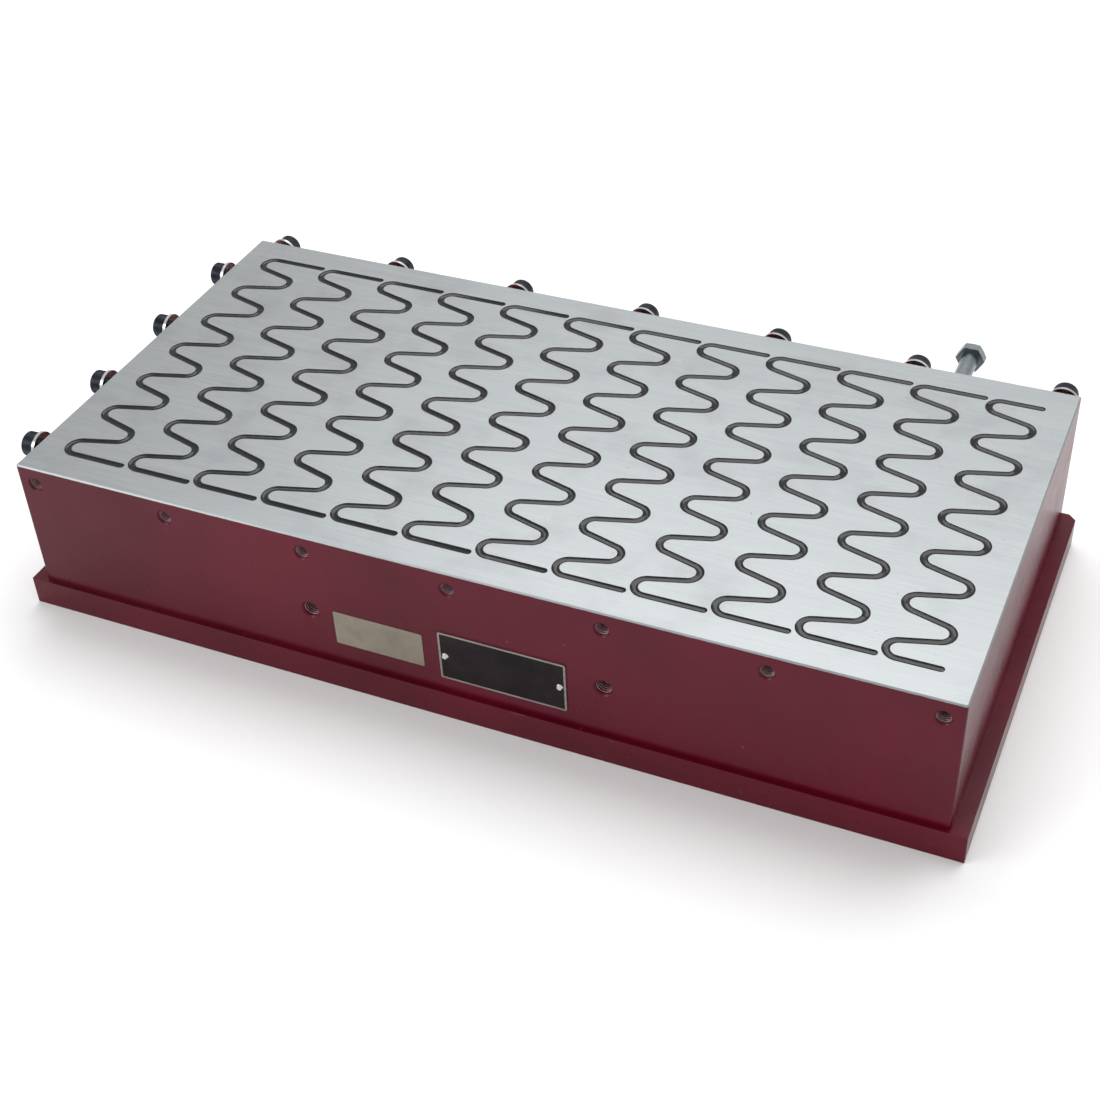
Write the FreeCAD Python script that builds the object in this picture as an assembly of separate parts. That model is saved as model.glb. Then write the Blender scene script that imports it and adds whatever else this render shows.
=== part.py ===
import FreeCAD, Part
import math
import os

# Electromagnetic chuck with a 600 x 300 mm holding face.
#
# Frame: origin on the underside of the base plate, at the centre of the holding
# face seen from above.  +X runs along the length, +Y to the back, +Z up.
# Units are millimetres.

Vector = FreeCAD.Vector

X_AXIS = Vector(1, 0, 0)
Y_AXIS = Vector(0, 1, 0)
Z_AXIS = Vector(0, 0, 1)

# ---- Body: base plate, frame and pole plate, stacked upwards -------------------
BODY_LENGTH = 600.0
BODY_WIDTH = 300.0
BODY_EDGE_RADIUS = 1.5      # upright edges of the frame and the pole plate
BASE_THICK = 20.0
LEDGE_END = 10.0            # clamping ledge past each end of the body
LEDGE_FRONT = 3.0           # the base stands this far out in front
BASE_BACK_CHAMFER = 5.0
FRAME_HEIGHT = 68.0
FRAME_WALL = 18.0
FRAME_INNER_RADIUS = 6.0
PLATE_THICK = 25.0
PLATE_CHAMFER = 0.8

# ---- Serpentine slots through the pole plate, and the resin in them ------------
SLOT_COUNT = 12
SLOT_WIDTH = 4.7
SLOT_SPAN = 36.0            # outside to outside, across one serpentine
SLOT_BEND_RADIUS = 7.4      # of the slot's centre line
SLOT_MARGIN_X = 18.0        # from the plate's end to the first serpentine
SLOT_MARGIN_Y = 20.25       # from the plate's front to the serpentines
LOBE_COUNT = 7              # bends on the left side of each serpentine
FILL_RECESS = 1.2           # the resin's surface lies this far below the face

# ---- Magnet: bars between base and pole plate, every other one wound -----------
BAR_WIDTH = 12.0
BAR_EDGE_RADIUS = 1.0
BAR_SEAT_DEPTH = 2.0        # groove in the base plate that locates each bar
BAR_SEAT_CLEARANCE = 0.1
FORMER_WALL = 1.5
FORMER_CLEARANCE = 0.3      # between a bar and its coil former
COIL_BUILD = 26.0           # thickness of the winding, inside to outside
COIL_CLEARANCE = 0.1        # between the winding and its former
COIL_HEADROOM = 17.0        # over the coils, for links and terminals
COIL_END_GAP = 9.1          # from a coil former to the frame's wall
LINK_WIDTH = 6.0
LINK_THICK = 1.2
LINK_OFFSET = 8.0           # from the end of the bars to the middle of a link

# ---- Seals -------------------------------------------------------------------
SEAL_WIDTH = 2.5
SEAL_DEPTH = 2.0
SEAL_INSET = 15.0           # from the frame's outer face to the middle of the seal

# ---- Tie screws: from below, through base and frame, into the pole plate --------
TIE_SHANK = 8.0
TIE_THREAD_HOLE = 6.8
TIE_THREAD_CORE = 6.6
TIE_CLEARANCE_HOLE = 8.6
TIE_HEAD = 13.0
TIE_HEAD_HEIGHT = 8.0
TIE_HEAD_POCKET = 14.5
TIE_HEAD_POCKET_DEPTH = 9.5
TIE_SOCKET = 6.0            # across flats
TIE_SOCKET_DEPTH = 4.0
TIE_INSET = 8.0             # from the outer face to the screw's axis
TIE_THREAD_LENGTH = 12.0
TIE_THREAD_SPARE = 1.0      # thread below the plate
TIE_HOLE_SPARE = 2.0        # thread hole past the screw's end

# ---- Upper row of threaded holes, for stop rails (M10) --------------------------
RAIL_HOLE = 8.5             # tapping size
RAIL_HOLE_MOUTH = 10.4
RAIL_HOLE_DEPTH = 15.0
RAIL_HOLE_DROP = 12.5       # from the holding face to the hole's axis
RAIL_MARGIN_X = 12.0        # from the body's corner to the first hole, front and back
RAIL_MARGIN_Y = 36.0        # the same, on the left side
RAIL_LONG_COUNT = 7
RAIL_SHORT_COUNT = 4

# ---- Cap screws and washers left in the back and left rows ----------------------
CAP_SHANK_CLEARANCE = 0.08  # radial, in the tapped hole
CAP_THREAD_REACH = 6.0      # in the hole, as the screws stand
CAP_GAP = 8.0               # from the body to the washer, as the screws stand
CAP_HEAD = 16.0
CAP_HEAD_HEIGHT = 10.0
CAP_HEAD_BEVEL = 0.8
CAP_SOCKET = 8.0            # across flats
CAP_SOCKET_DEPTH = 5.0
WASHER_OUTER = 20.0
WASHER_HOLE = 10.5
WASHER_THICK = 2.0

# ---- Lower threaded holes for lifting bolts (M12) -------------------------------
LIFT_HOLE = 10.2            # tapping size
LIFT_HOLE_MOUTH = 12.4
LIFT_HOLE_DEPTH = 16.0
LIFT_HOLE_HEIGHT = 56.0
LIFT_HOLE_FROM_CORNER = 3   # under this rail hole, counted from each corner
LIFT_BOLT_INSET = 90.0      # from the body's right end
LIFT_BOLT_GAP = 0.1         # between the plain shank and the body
LIFT_SHANK = 12.0
LIFT_SHANK_LENGTH = 105.0   # plain shank, from the body to the head
LIFT_THREAD_CLEARANCE = 0.08
LIFT_THREAD_LENGTH = 14.0
LIFT_THREAD_POINT = 1.0     # bevel at the thread's end
LIFT_HEAD = 18.0            # across flats
LIFT_HEAD_HEIGHT = 7.5
LIFT_HEAD_CROWN = 17.1      # flat circle left by the bevel of the head's corners
LIFT_HEAD_BEVEL_ANGLE = 30.0
LIFT_WASHER_FACE = 16.6
LIFT_WASHER_FACE_HEIGHT = 0.6
HOLE_MOUTH_ANGLE = 45.0     # of every threaded hole's countersink

# ---- Cable inlet and terminals --------------------------------------------------
INLET_INSET = 50.0          # from the body's left end
INLET_HEIGHT = 50.0
INLET_THREAD = 20.0
INLET_THREAD_SHORT = 2.0    # the thread ends this far before the wall's inner face
INLET_BORE = 12.0
INLET_HEX = 24.0
INLET_HEX_LENGTH = 7.0
INLET_NECK = 18.0
INLET_NECK_LENGTH = 10.0
INLET_NUT_GAP = 1.0         # between the hexagon and the nut
INLET_NUT_LENGTH = 15.0
INLET_NUT_MOUTH = 14.0
INLET_NUT_DOME = 5.0        # length of the nut's taper
INLET_NUT_RIM = 1.0         # wall at the mouth
INLET_NUT_LIP = 2.0         # depth of the mouth
INLET_THREAD_CLEARANCE = 0.05
INSERT_HOLE = 8.0
INSERT_LENGTH = 10.0
INSERT_STAND = 1.0          # the ring stands this far past the neck
TERMINAL_LENGTH = 46.0
TERMINAL_DEPTH = 14.0
TERMINAL_HEIGHT = 11.0
TERMINAL_INSET = 60.0       # from the body's left end to the block's middle
TERMINAL_RISE = 3.0         # above the top of the coil formers
TERMINAL_COUNT = 3
TERMINAL_PITCH = 13.0
TERMINAL_WELL = 7.0
TERMINAL_WELL_DEPTH = 4.0
TERMINAL_FLOOR = 2.0        # under each well
TERMINAL_EDGE = 1.0         # from a screw's head to the block's end
TERMINAL_SCREW = 3.9
TERMINAL_SCREW_HEAD = 6.0
TERMINAL_SCREW_HEAD_HEIGHT = 2.5

# ---- Plates on the front --------------------------------------------------------
NAMEPLATE_LENGTH = 82.0
NAMEPLATE_HEIGHT = 36.0
NAMEPLATE_THICK = 0.8
NAMEPLATE_CORNER = 1.5
NAMEPLATE_X = 32.0
NAMEPLATE_Z = 48.5
RIVET_INSET = 4.0
RIVET_SHANK = 2.4
RIVET_LENGTH = 5.0          # in the wall
RIVET_HOLE_DEPTH = 6.0
RIVET_HEAD = 4.4
RIVET_CROWN = 2.9
RIVET_HEAD_HEIGHT = 1.1
LABEL_LENGTH = 60.0
LABEL_HEIGHT = 25.0
LABEL_THICK = 0.3
LABEL_CORNER = 1.0
LABEL_X = -50.0
LABEL_Z = 47.5

# ---- Heights and positions that follow ------------------------------------------
FRAME_BOTTOM = BASE_THICK
PLATE_BOTTOM = FRAME_BOTTOM + FRAME_HEIGHT
TOP = PLATE_BOTTOM + PLATE_THICK
FRONT = -BODY_WIDTH / 2
BACK = BODY_WIDTH / 2
LEFT = -BODY_LENGTH / 2
RIGHT = BODY_LENGTH / 2
RAIL_HEIGHT = TOP - RAIL_HOLE_DROP
COIL_HEIGHT = FRAME_HEIGHT - COIL_HEADROOM - 2 * FORMER_WALL
FORMER_TOP = FRAME_BOTTOM + 2 * FORMER_WALL + COIL_HEIGHT
COIL_ROOM = FORMER_CLEARANCE + FORMER_WALL + COIL_CLEARANCE + COIL_BUILD
BAR_LENGTH = BODY_WIDTH - 2 * (FRAME_WALL + COIL_END_GAP + COIL_ROOM)
INLET_X = LEFT + INLET_INSET
TERMINAL_X = LEFT + TERMINAL_INSET
LIFT_BOLT_X = RIGHT - LIFT_BOLT_INSET
CAP_SHANK = RAIL_HOLE - 2 * CAP_SHANK_CLEARANCE
LIFT_THREAD = LIFT_HOLE - 2 * LIFT_THREAD_CLEARANCE


# ---- Small helpers ---------------------------------------------------------------
def centred(count, pitch):
    """Positions of a row of things, centred on 0."""
    return [(i - (count - 1) / 2) * pitch for i in range(count)]


def spread(count, room):
    """Positions of things spaced evenly over a room, from end to end, centred on 0."""
    return centred(count, room / (count - 1))


def between(places):
    """Middle of each gap in a row of positions."""
    return [(a + b) / 2 for a, b in zip(places, places[1:])]


def block(x0, x1, y0, y1, z0, z1):
    return Part.makeBox(x1 - x0, y1 - y0, z1 - z0, Vector(x0, y0, z0))


def rod(radius, length, start, direction):
    return Part.makeCylinder(radius, length, start, direction)


def rounded_outline(length, width, radius, z, centre=(0.0, 0.0)):
    """Closed wire: a rectangle with round corners, flat at height z."""
    cx, cy = centre
    hx, hy = length / 2, width / 2
    if radius <= 0:
        corners = [Vector(cx + a * hx, cy + b * hy, z)
                   for a, b in ((-1, -1), (1, -1), (1, 1), (-1, 1), (-1, -1))]
        return Part.makePolygon(corners)
    edges = []
    for quarter, (a, b) in enumerate(((1, 1), (-1, 1), (-1, -1), (1, -1))):
        centre_point = Vector(cx + a * (hx - radius), cy + b * (hy - radius), z)
        circle = Part.Circle(centre_point, Z_AXIS, radius)
        start = quarter * math.pi / 2
        edges.append(circle.toShape(start, start + math.pi / 2))
    joined = []
    for k, edge in enumerate(edges):
        joined.append(edge)
        following = edges[(k + 1) % 4]
        a = edge.valueAt(edge.LastParameter)
        b = following.valueAt(following.FirstParameter)
        if a.distanceToPoint(b) > 1e-6:
            joined.append(Part.makeLine(a, b))
    return Part.Wire(joined)


def prism(outlines, height):
    """Extrude a face, whose further outlines are holes, straight up."""
    face = Part.makeFace(outlines, "Part::FaceMakerBullseye")
    return face.extrude(Vector(0, 0, height)).Solids[0]


def rounded_block(length, width, radius, z, height, centre=(0.0, 0.0)):
    return prism([rounded_outline(length, width, radius, z, centre)], height)


def hexagon_prism(flats, length, start, direction):
    """Six-sided prism from start along direction, flats above and below."""
    corner = flats / math.sqrt(3)
    points = [Vector(corner * math.cos(k * math.pi / 3), corner * math.sin(k * math.pi / 3), 0)
              for k in range(7)]
    solid = Part.Face(Part.makePolygon(points)).extrude(Vector(0, 0, length))
    return placed(solid, start, direction)


def placed(shape, start, direction):
    """Move a shape built up the Z axis so that it starts at a point and follows a direction."""
    turn = FreeCAD.Rotation(Z_AXIS, direction)
    shape.Placement = FreeCAD.Placement(start, turn)
    return shape


def turned(points, start, direction):
    """Solid of revolution from (radius, height) points, built along a direction."""
    outline = Part.makePolygon([Vector(r, 0, h) for r, h in points + points[:1]])
    solid = Part.Face(outline).revolve(Vector(0, 0, 0), Z_AXIS, 360)
    return placed(solid, start, direction)


def threaded_hole(radius, mouth_radius, depth, mouth, inward):
    """Cutter for a blind threaded hole with a countersunk mouth."""
    mouth_depth = (mouth_radius - radius) / math.tan(math.radians(HOLE_MOUTH_ANGLE))
    points = [(0.0, 0.0), (mouth_radius, 0.0), (radius, mouth_depth), (radius, depth),
              (0.0, depth)]
    return turned(points, mouth, inward)


# ---- Rows of holes: place on the body's face and the way in ----------------------
RAIL_X = spread(RAIL_LONG_COUNT, BODY_LENGTH - 2 * RAIL_MARGIN_X)
RAIL_Y = spread(RAIL_SHORT_COUNT, BODY_WIDTH - 2 * RAIL_MARGIN_Y)
FRONT_RAIL_HOLES = [(Vector(x, FRONT, RAIL_HEIGHT), Y_AXIS) for x in RAIL_X]
REAR_RAIL_HOLES = [(Vector(x, BACK, RAIL_HEIGHT), -Y_AXIS) for x in RAIL_X]
SIDE_RAIL_HOLES = [(Vector(LEFT, y, RAIL_HEIGHT), X_AXIS) for y in RAIL_Y]
LIFT_X = (RAIL_X[LIFT_HOLE_FROM_CORNER - 1], RAIL_X[-LIFT_HOLE_FROM_CORNER])
FRONT_LIFT_HOLES = [(Vector(x, FRONT, LIFT_HOLE_HEIGHT), Y_AXIS) for x in LIFT_X]
REAR_LIFT_HOLE = (Vector(LIFT_BOLT_X, BACK, LIFT_HOLE_HEIGHT), -Y_AXIS)

# The tie screws stand midway between rail holes, clear of them.
TIE_X = between(RAIL_X)[1:-1]
TIE_Y = (between(RAIL_Y)[0], between(RAIL_Y)[-1])
TIE_PLACES = ([(x, FRONT + TIE_INSET) for x in TIE_X] + [(x, BACK - TIE_INSET) for x in TIE_X]
              + [(LEFT + TIE_INSET, y) for y in TIE_Y] + [(RIGHT - TIE_INSET, y) for y in TIE_Y])

# One bar lies between each two neighbouring slots, and every other bar is wound.
SLOT_CENTRES = spread(SLOT_COUNT, BODY_LENGTH - 2 * SLOT_MARGIN_X - SLOT_SPAN)
SLOT_PITCH = SLOT_CENTRES[1] - SLOT_CENTRES[0]
LOBE_ROWS = spread(LOBE_COUNT, BODY_WIDTH - 2 * SLOT_MARGIN_Y - 2 * SLOT_BEND_RADIUS - SLOT_WIDTH)
BAR_CENTRES = between(SLOT_CENTRES)
WOUND_BARS = BAR_CENTRES[0::2]
RETURN_BARS = BAR_CENTRES[1::2]


# ---- Serpentine ------------------------------------------------------------------
def serpentine_path(centre_x, tail_tip):
    """Centre line of one slot, front tail to back tail, as lines and arcs.

    A line is ("line", start, end).  An arc is ("arc", centre, start angle, sweep).
    """
    radius = SLOT_BEND_RADIUS
    reach = (SLOT_SPAN - SLOT_WIDTH) / 2
    left_x = centre_x - reach + radius
    right_x = centre_x + reach - radius
    across = right_x - left_x
    rows = LOBE_ROWS
    rise = (rows[1] - rows[0]) / 2
    slope = math.acos(2 * radius / math.hypot(across, rise)) - math.atan2(across, rise)
    quarter = math.pi / 2
    tail_x = tail_tip - SLOT_WIDTH / 2

    def on_circle(centre, angle):
        return Vector(centre.x + radius * math.cos(angle), centre.y + radius * math.sin(angle), 0)

    arcs = []
    for k, y in enumerate(rows):
        first = 3 * quarter if k == 0 else 3 * quarter - slope
        last = quarter if k == LOBE_COUNT - 1 else quarter + slope
        arcs.append((Vector(left_x, y, 0), first, last - first))
        if k < LOBE_COUNT - 1:
            arcs.append((Vector(right_x, y + rise, 0), slope - quarter, 2 * (quarter - slope)))
    path = [("line", Vector(tail_x, rows[0] - radius, 0), Vector(left_x, rows[0] - radius, 0))]
    for k, (centre, start, sweep) in enumerate(arcs):
        path.append(("arc", centre, start, sweep))
        end = on_circle(centre, start + sweep)
        if k < len(arcs) - 1:
            path.append(("line", end, on_circle(arcs[k + 1][0], arcs[k + 1][1])))
    path.append(("line", Vector(left_x, rows[-1] + radius, 0), Vector(tail_x, rows[-1] + radius, 0)))
    return path


def path_side(path, offset):
    """Edges of a path moved sideways, to its left where offset is positive."""
    edges = []
    for kind, *data in path:
        if kind == "line":
            start, end = data
            along = end - start
            along.normalize()
            shift = Vector(-along.y, along.x, 0) * offset
            edges.append(Part.makeLine(start + shift, end + shift))
        else:
            centre, start, sweep = data
            radius = SLOT_BEND_RADIUS - math.copysign(offset, sweep * offset)
            points = [Vector(centre.x + radius * math.cos(a), centre.y + radius * math.sin(a), 0)
                      for a in (start, start + sweep / 2, start + sweep)]
            edges.append(Part.Arc(*points).toShape())
    return edges


def slot_outline(centre_x, tail_tip, z):
    """Closed outline of one slot with round tail ends, at height z."""
    path = serpentine_path(centre_x, tail_tip)
    half = SLOT_WIDTH / 2
    edges = path_side(path, half) + path_side(path, -half)
    for tip in (path[0][1], path[-1][2]):
        edges.append(Part.Arc(tip + Vector(0, half, 0), tip + Vector(half, 0, 0),
                              tip - Vector(0, half, 0)).toShape())
    wire = Part.Wire(Part.__sortEdges__(edges))
    wire.translate(Vector(0, 0, z))
    return wire


def slot_outlines(z):
    """Every slot; a tail runs up to its neighbour, and the last one to its own width."""
    outlines = []
    for k, centre_x in enumerate(SLOT_CENTRES):
        left_edge = centre_x - SLOT_SPAN / 2
        tail = SLOT_PITCH if k < SLOT_COUNT - 1 else SLOT_SPAN
        outlines.append(slot_outline(centre_x, left_edge + tail, z))
    return outlines


# ---- Body ------------------------------------------------------------------------
def seal_ring(z, height):
    """Rectangular ring in the middle of its groove, all round the frame."""
    outer = [size - 2 * SEAL_INSET + SEAL_WIDTH for size in (BODY_LENGTH, BODY_WIDTH)]
    inner = [size - 2 * SEAL_WIDTH for size in outer]
    radius = FRAME_INNER_RADIUS
    return prism([rounded_outline(*outer, radius + SEAL_WIDTH, z),
                  rounded_outline(*inner, radius, z)], height)


def base_plate():
    x = BODY_LENGTH / 2 + LEDGE_END
    y_front = FRONT - LEDGE_FRONT
    c = BASE_BACK_CHAMFER
    corners = [(-x, y_front), (x, y_front), (x, BACK - c), (x - c, BACK), (c - x, BACK),
               (-x, BACK - c), (-x, y_front)]
    plate = prism([Part.makePolygon([Vector(a, b, 0) for a, b in corners])], BASE_THICK)
    cuts = [seal_ring(BASE_THICK - SEAL_DEPTH, SEAL_DEPTH)]
    for a, b in TIE_PLACES:
        cuts.append(rod(TIE_HEAD_POCKET / 2, TIE_HEAD_POCKET_DEPTH, Vector(a, b, 0), Z_AXIS))
        cuts.append(rod(TIE_CLEARANCE_HOLE / 2, BASE_THICK, Vector(a, b, 0), Z_AXIS))
    for centre_x in BAR_CENTRES:
        size = [d + 2 * BAR_SEAT_CLEARANCE for d in (BAR_WIDTH, BAR_LENGTH)]
        cuts.append(rounded_block(*size, BAR_EDGE_RADIUS, BASE_THICK - BAR_SEAT_DEPTH,
                                  BAR_SEAT_DEPTH, (centre_x, 0.0)))
    return plate.cut(cuts)


def body_frame():
    outer = rounded_outline(BODY_LENGTH, BODY_WIDTH, BODY_EDGE_RADIUS, FRAME_BOTTOM)
    inner = rounded_outline(BODY_LENGTH - 2 * FRAME_WALL, BODY_WIDTH - 2 * FRAME_WALL,
                            FRAME_INNER_RADIUS, FRAME_BOTTOM)
    frame = prism([outer, inner], FRAME_HEIGHT)
    cuts = [seal_ring(PLATE_BOTTOM - SEAL_DEPTH, SEAL_DEPTH)]
    for a, b in TIE_PLACES:
        cuts.append(rod(TIE_CLEARANCE_HOLE / 2, FRAME_HEIGHT, Vector(a, b, FRAME_BOTTOM), Z_AXIS))
    for mouth, inward in FRONT_LIFT_HOLES + [REAR_LIFT_HOLE]:
        cuts.append(threaded_hole(LIFT_HOLE / 2, LIFT_HOLE_MOUTH / 2, LIFT_HOLE_DEPTH,
                                  mouth, inward))
    cuts.append(rod(INLET_THREAD / 2, FRAME_WALL, Vector(INLET_X, BACK, INLET_HEIGHT), -Y_AXIS))
    for place in rivet_places():
        cuts.append(rod(RIVET_SHANK / 2, RIVET_HOLE_DEPTH, place, Y_AXIS))
    for side in (-1, 1):
        screw = terminal_screw_place(side)
        cuts.append(rod(TERMINAL_SCREW / 2, RIVET_HOLE_DEPTH, screw, Y_AXIS))
    return frame.cut(cuts)


def pole_plate():
    outer = rounded_outline(BODY_LENGTH, BODY_WIDTH, BODY_EDGE_RADIUS, PLATE_BOTTOM)
    plate = prism([outer] + slot_outlines(PLATE_BOTTOM), PLATE_THICK)
    rim = [edge for edge in plate.Edges if on_top_rim(edge)]
    plate = plate.makeChamfer(PLATE_CHAMFER, rim)
    cuts = []
    for mouth, inward in FRONT_RAIL_HOLES + REAR_RAIL_HOLES + SIDE_RAIL_HOLES:
        cuts.append(threaded_hole(RAIL_HOLE / 2, RAIL_HOLE_MOUTH / 2, RAIL_HOLE_DEPTH,
                                  mouth, inward))
    for a, b in TIE_PLACES:
        cuts.append(rod(TIE_THREAD_HOLE / 2, TIE_THREAD_LENGTH + TIE_HOLE_SPARE,
                        Vector(a, b, PLATE_BOTTOM), Z_AXIS))
    return plate.cut(cuts)


def on_top_rim(edge):
    """True for the edges that run round the outside of the holding face."""
    box = edge.BoundBox
    if box.ZMin < TOP - 1e-6:
        return False
    near = BODY_EDGE_RADIUS + 1e-6
    return (box.XMax > RIGHT - 1e-6 or box.XMin < LEFT + 1e-6
            or box.YMax > BACK - 1e-6 or box.YMin < FRONT + 1e-6
            or (abs(box.XMin) > RIGHT - near and abs(box.YMin) > BACK - near))


def slot_fill():
    height = PLATE_THICK - FILL_RECESS
    return Part.Compound([prism([outline], height) for outline in slot_outlines(PLATE_BOTTOM)])


def base_seal():
    return seal_ring(BASE_THICK - SEAL_DEPTH, SEAL_DEPTH)


def top_seal():
    return seal_ring(PLATE_BOTTOM - SEAL_DEPTH, SEAL_DEPTH)


def tie_screws():
    """Cap screws with their heads sunk in the underside of the base plate."""
    head_bottom = TIE_HEAD_POCKET_DEPTH - TIE_HEAD_HEIGHT
    end = PLATE_BOTTOM + TIE_THREAD_LENGTH
    thread = PLATE_BOTTOM - TIE_THREAD_SPARE
    profile = [(0.0, head_bottom), (TIE_HEAD / 2, head_bottom),
               (TIE_HEAD / 2, TIE_HEAD_POCKET_DEPTH), (TIE_SHANK / 2, TIE_HEAD_POCKET_DEPTH),
               (TIE_SHANK / 2, thread), (TIE_THREAD_CORE / 2, thread),
               (TIE_THREAD_CORE / 2, end), (0.0, end)]
    screws = []
    for a, b in TIE_PLACES:
        screw = turned(profile, Vector(a, b, 0), Z_AXIS)
        socket = hexagon_prism(TIE_SOCKET, TIE_SOCKET_DEPTH, Vector(a, b, head_bottom), Z_AXIS)
        screws.append(screw.cut(socket))
    return Part.Compound(screws)


# ---- Magnet ----------------------------------------------------------------------
def bar(centre_x):
    bottom = BASE_THICK - BAR_SEAT_DEPTH
    return rounded_block(BAR_WIDTH, BAR_LENGTH, BAR_EDGE_RADIUS, bottom,
                         PLATE_BOTTOM - bottom, (centre_x, 0.0))


def around_bar(gap):
    """Length and width of an outline that stands this far off a bar."""
    return BAR_WIDTH + 2 * gap, BAR_LENGTH + 2 * gap


def coil(centre_x):
    inside = COIL_ROOM - COIL_BUILD
    z = FRAME_BOTTOM + FORMER_WALL
    centre = (centre_x, 0.0)
    return prism([rounded_outline(*around_bar(COIL_ROOM), BAR_EDGE_RADIUS + COIL_ROOM, z, centre),
                  rounded_outline(*around_bar(inside), BAR_EDGE_RADIUS + inside, z, centre)],
                 COIL_HEIGHT)


def coil_former(centre_x):
    """Tube round a bar with a flange under and over the winding."""
    inside = FORMER_CLEARANCE
    sleeve = inside + FORMER_WALL
    rim = COIL_ROOM
    centre = (centre_x, 0.0)

    def layer(outer_gap, z, height):
        return prism([rounded_outline(*around_bar(outer_gap), BAR_EDGE_RADIUS + outer_gap, z, centre),
                      rounded_outline(*around_bar(inside), BAR_EDGE_RADIUS + inside, z, centre)],
                     height)

    bottom = layer(rim, BASE_THICK, FORMER_WALL)
    tube = layer(sleeve, BASE_THICK + FORMER_WALL, COIL_HEIGHT)
    top = layer(rim, BASE_THICK + FORMER_WALL + COIL_HEIGHT, FORMER_WALL)
    return bottom.fuse([tube, top]).removeSplitter()


def coil_formers():
    return Part.Compound([coil_former(x) for x in WOUND_BARS])


def series_links():
    """Copper strips that join each coil to the next, past the ends of the return bars."""
    y = BAR_LENGTH / 2 + LINK_OFFSET
    strips = []
    for a, b in zip(WOUND_BARS, WOUND_BARS[1:]):
        strips.append(block(a + LINK_WIDTH, b - LINK_WIDTH, y - LINK_WIDTH / 2, y + LINK_WIDTH / 2,
                            FORMER_TOP, FORMER_TOP + LINK_THICK))
    return Part.Compound(strips)


# ---- Cable inlet and terminals ----------------------------------------------------
def inlet_body():
    """Gland body: thread in the frame's back wall, hexagon and neck outside."""
    start = Vector(INLET_X, BACK, INLET_HEIGHT)
    thread = INLET_THREAD / 2 - INLET_THREAD_CLEARANCE
    inner_end = INLET_THREAD_SHORT - FRAME_WALL
    neck_end = INLET_HEX_LENGTH + INLET_NECK_LENGTH
    points = [(INLET_BORE / 2, inner_end), (thread, inner_end), (thread, 0.0),
              (INLET_NECK / 2, 0.0), (INLET_NECK / 2, neck_end), (INLET_BORE / 2, neck_end)]
    tube = turned(points, start, Y_AXIS)
    hexagon = hexagon_prism(INLET_HEX, INLET_HEX_LENGTH, start, Y_AXIS)
    hexagon = hexagon.cut(rod(INLET_BORE / 2, INLET_HEX_LENGTH, start, Y_AXIS))
    return tube.fuse(hexagon).removeSplitter()


def inlet_nut():
    """Domed nut screwed over the gland's neck."""
    start = Vector(INLET_X, BACK + INLET_HEX_LENGTH + INLET_NUT_GAP, INLET_HEIGHT)
    outer = INLET_HEX / 2
    bore = INLET_NECK / 2 + INLET_THREAD_CLEARANCE
    mouth = INLET_NUT_MOUTH / 2
    length = INLET_NUT_LENGTH
    points = [(bore, 0.0), (outer, 0.0), (outer, length - INLET_NUT_DOME),
              (mouth + INLET_NUT_RIM, length), (mouth, length), (mouth, length - INLET_NUT_LIP),
              (bore, length - INLET_NUT_LIP - (bore - mouth))]
    return turned(points, start, Y_AXIS)


def inlet_insert():
    """Rubber ring that grips a cable; the inlet is open."""
    end = INLET_HEX_LENGTH + INLET_NECK_LENGTH + INSERT_STAND
    start = Vector(INLET_X, BACK + end - INSERT_LENGTH, INLET_HEIGHT)
    outer = INLET_BORE / 2 - INLET_THREAD_CLEARANCE
    points = [(INSERT_HOLE / 2, 0.0), (outer, 0.0), (outer, INSERT_LENGTH),
              (INSERT_HOLE / 2, INSERT_LENGTH)]
    return turned(points, start, Y_AXIS)


def terminal_screw_place(side):
    """Where a fixing screw of the terminal block meets the frame's inner wall."""
    x = TERMINAL_X + side * (TERMINAL_LENGTH / 2 - TERMINAL_SCREW_HEAD / 2 - TERMINAL_EDGE)
    z = FORMER_TOP + TERMINAL_RISE + TERMINAL_HEIGHT / 2
    return Vector(x, BACK - FRAME_WALL, z)


def terminal_block():
    y1 = BACK - FRAME_WALL
    y0 = y1 - TERMINAL_DEPTH
    z0 = FORMER_TOP + TERMINAL_RISE
    body = block(TERMINAL_X - TERMINAL_LENGTH / 2, TERMINAL_X + TERMINAL_LENGTH / 2,
                 y0, y1, z0, z0 + TERMINAL_HEIGHT)
    cuts = []
    for offset in centred(TERMINAL_COUNT, TERMINAL_PITCH):
        x = TERMINAL_X + offset
        half = TERMINAL_WELL / 2
        cuts.append(block(x - half, x + half, y0, y0 + TERMINAL_WELL_DEPTH,
                          z0 + TERMINAL_FLOOR, z0 + TERMINAL_HEIGHT))
    for side in (-1, 1):
        cuts.append(rod(TERMINAL_SCREW / 2, TERMINAL_DEPTH, terminal_screw_place(side), -Y_AXIS))
    return body.cut(cuts)


def terminal_screws():
    screws = []
    for side in (-1, 1):
        wall = terminal_screw_place(side)
        points = [(0.0, -RIVET_LENGTH), (TERMINAL_SCREW / 2, -RIVET_LENGTH),
                  (TERMINAL_SCREW / 2, TERMINAL_DEPTH), (TERMINAL_SCREW_HEAD / 2, TERMINAL_DEPTH),
                  (TERMINAL_SCREW_HEAD / 2, TERMINAL_DEPTH + TERMINAL_SCREW_HEAD_HEIGHT),
                  (0.0, TERMINAL_DEPTH + TERMINAL_SCREW_HEAD_HEIGHT)]
        screws.append(turned(points, wall, -Y_AXIS))
    return Part.Compound(screws)


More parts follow.
